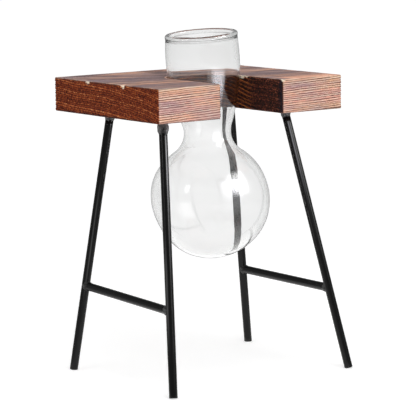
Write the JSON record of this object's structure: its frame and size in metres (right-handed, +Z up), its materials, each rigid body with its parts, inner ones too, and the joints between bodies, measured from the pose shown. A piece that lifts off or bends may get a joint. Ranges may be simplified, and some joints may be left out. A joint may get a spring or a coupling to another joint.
{
  "type": "propagation vase",
  "caption": "Round-bulbed clear glass propagation vase hung by its flared mouth in the open slot of a small burnt-pine stool with splayed rod legs.",
  "frame": {"origin": "on the floor, under the middle of the whole object's bounding box", "axes": "+Z up; +X to the right along the board's grain, seen from the front; +Y to the back; the board's slot opens towards -Y"},
  "size_m": [0.1358, 0.1183, 0.2028],
  "materials": {
    "pine": "burnt and wire-brushed pine, stained, dry satin",
    "glass": "clear blown glass, fire-polished rim",
    "rod": "satin black paint on steel rod",
    "weld": "painted weld bead, slightly rough"
  },
  "bodies": {
    "stand": {"board": "pine", "front_left_stud": "rod", "front_right_stud": "rod", "back_left_stud": "rod", "back_right_stud": "rod", "front_left_leg": "rod", "front_right_leg": "rod", "back_left_leg": "rod", "back_right_leg": "rod", "front_left_stud_weld": "weld", "front_right_stud_weld": "weld", "back_left_stud_weld": "weld", "back_right_stud_weld": "weld", "left_crossbar": "rod", "right_crossbar": "rod", "front_left_bar_weld": "weld", "front_right_bar_weld": "weld", "back_left_bar_weld": "weld", "back_right_bar_weld": "weld"},
    "vase": {"vase": "glass"}
  },
  "joints": [
    {"name": "vase_slide", "type": "slide", "parent": "stand", "child": "vase", "axis": [0, -1, 0], "range_m": [0, 0.072]}
  ]
}
